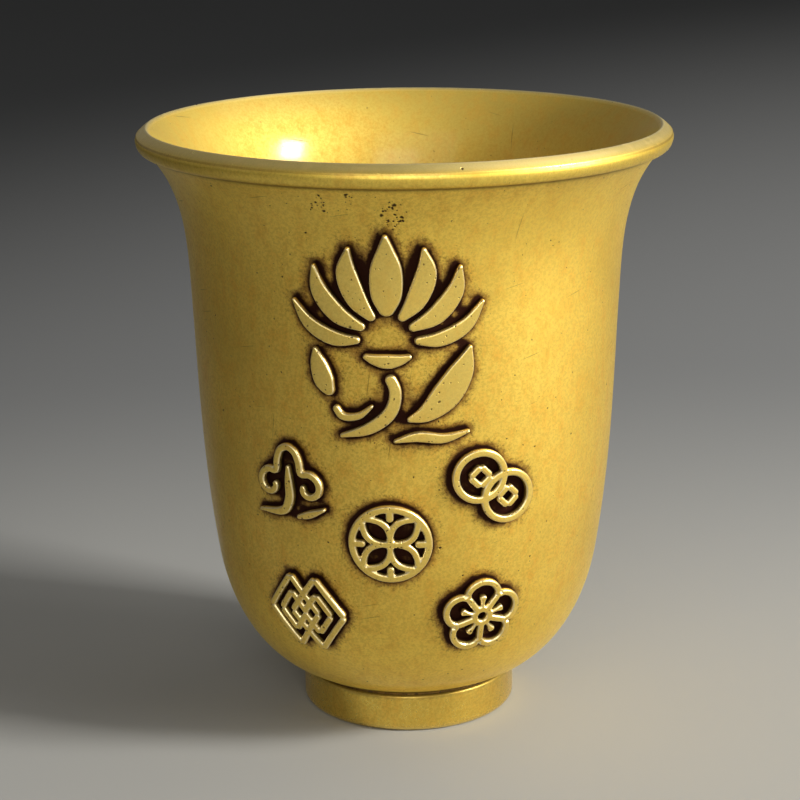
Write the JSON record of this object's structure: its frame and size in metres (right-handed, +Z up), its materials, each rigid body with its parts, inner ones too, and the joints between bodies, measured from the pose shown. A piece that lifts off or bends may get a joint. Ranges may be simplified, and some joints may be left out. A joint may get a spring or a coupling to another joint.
{
  "type": "drinking cup",
  "caption": "Small flared brass drinking cup on a foot ring, with a thick bevelled lip and raised lotus, cloud, coin, medallion, lozenge and blossom ornaments on its front.",
  "frame": {"origin": "on the cup's axis, in the plane that the foot ring stands on", "axes": "+Z up along the cup's axis, +X to the right seen from the decorated front, front faces -Y"},
  "size_m": [0.07, 0.07, 0.08],
  "materials": {
    "cast_brass": "satin, aged, faintly mottled",
    "foot_brass": "satin, aged",
    "relief_brass": "polished edges, satin tops"
  },
  "bodies": {
    "root": {"cup_body": "cast_brass", "foot_ring": "foot_brass", "lotus_middle_petal": "relief_brass", "lotus_calyx": "relief_brass", "lotus_stem": "relief_brass", "lotus_leaf": "relief_brass", "lotus_bud": "relief_brass", "bud_stem": "relief_brass", "water_ripple": "relief_brass", "lotus_right_inner_petal": "relief_brass", "lotus_left_inner_petal": "relief_brass", "lotus_right_outer_petal": "relief_brass", "lotus_left_outer_petal": "relief_brass", "lotus_right_low_petal": "relief_brass", "lotus_left_low_petal": "relief_brass", "ruyi_crown": "relief_brass", "ruyi_tail": "relief_brass", "ruyi_wisp": "relief_brass", "linked_coins": "relief_brass", "medallion": "relief_brass", "linked_lozenges": "relief_brass", "plum_blossom": "relief_brass"}
  },
  "joints": []
}
